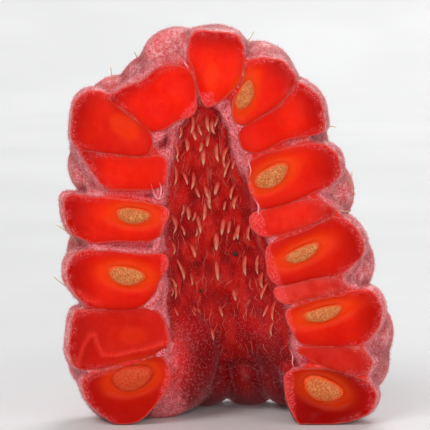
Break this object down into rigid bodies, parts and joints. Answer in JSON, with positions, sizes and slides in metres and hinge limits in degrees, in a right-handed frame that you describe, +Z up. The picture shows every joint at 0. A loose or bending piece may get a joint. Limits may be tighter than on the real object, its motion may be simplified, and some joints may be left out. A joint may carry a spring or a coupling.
{
  "type": "raspberry",
  "caption": "Half a raspberry cut lengthwise through its hollow core, standing on its open base with seeds bared on the cut face.",
  "frame": {"origin": "middle of the bounding box's bottom, on the surface that the half fruit stands on", "axes": "+Z up along the fruit's hollow core from its open base to its tip, -Y out of the cut face toward the viewer, +X to the viewer's right"},
  "size_m": [0.0186, 0.0096, 0.021],
  "materials": {
    "flesh": "moist translucent red fruit flesh under a thin downy skin",
    "seed": "pale woody stone with a netted surface, moist"
  },
  "bodies": {
    "root": {"fruit": "flesh", "seed_01": "seed", "seed_02": "seed", "seed_03": "seed", "seed_04": "seed", "seed_05": "seed", "seed_06": "seed", "seed_07": "seed", "seed_08": "seed"}
  },
  "joints": []
}
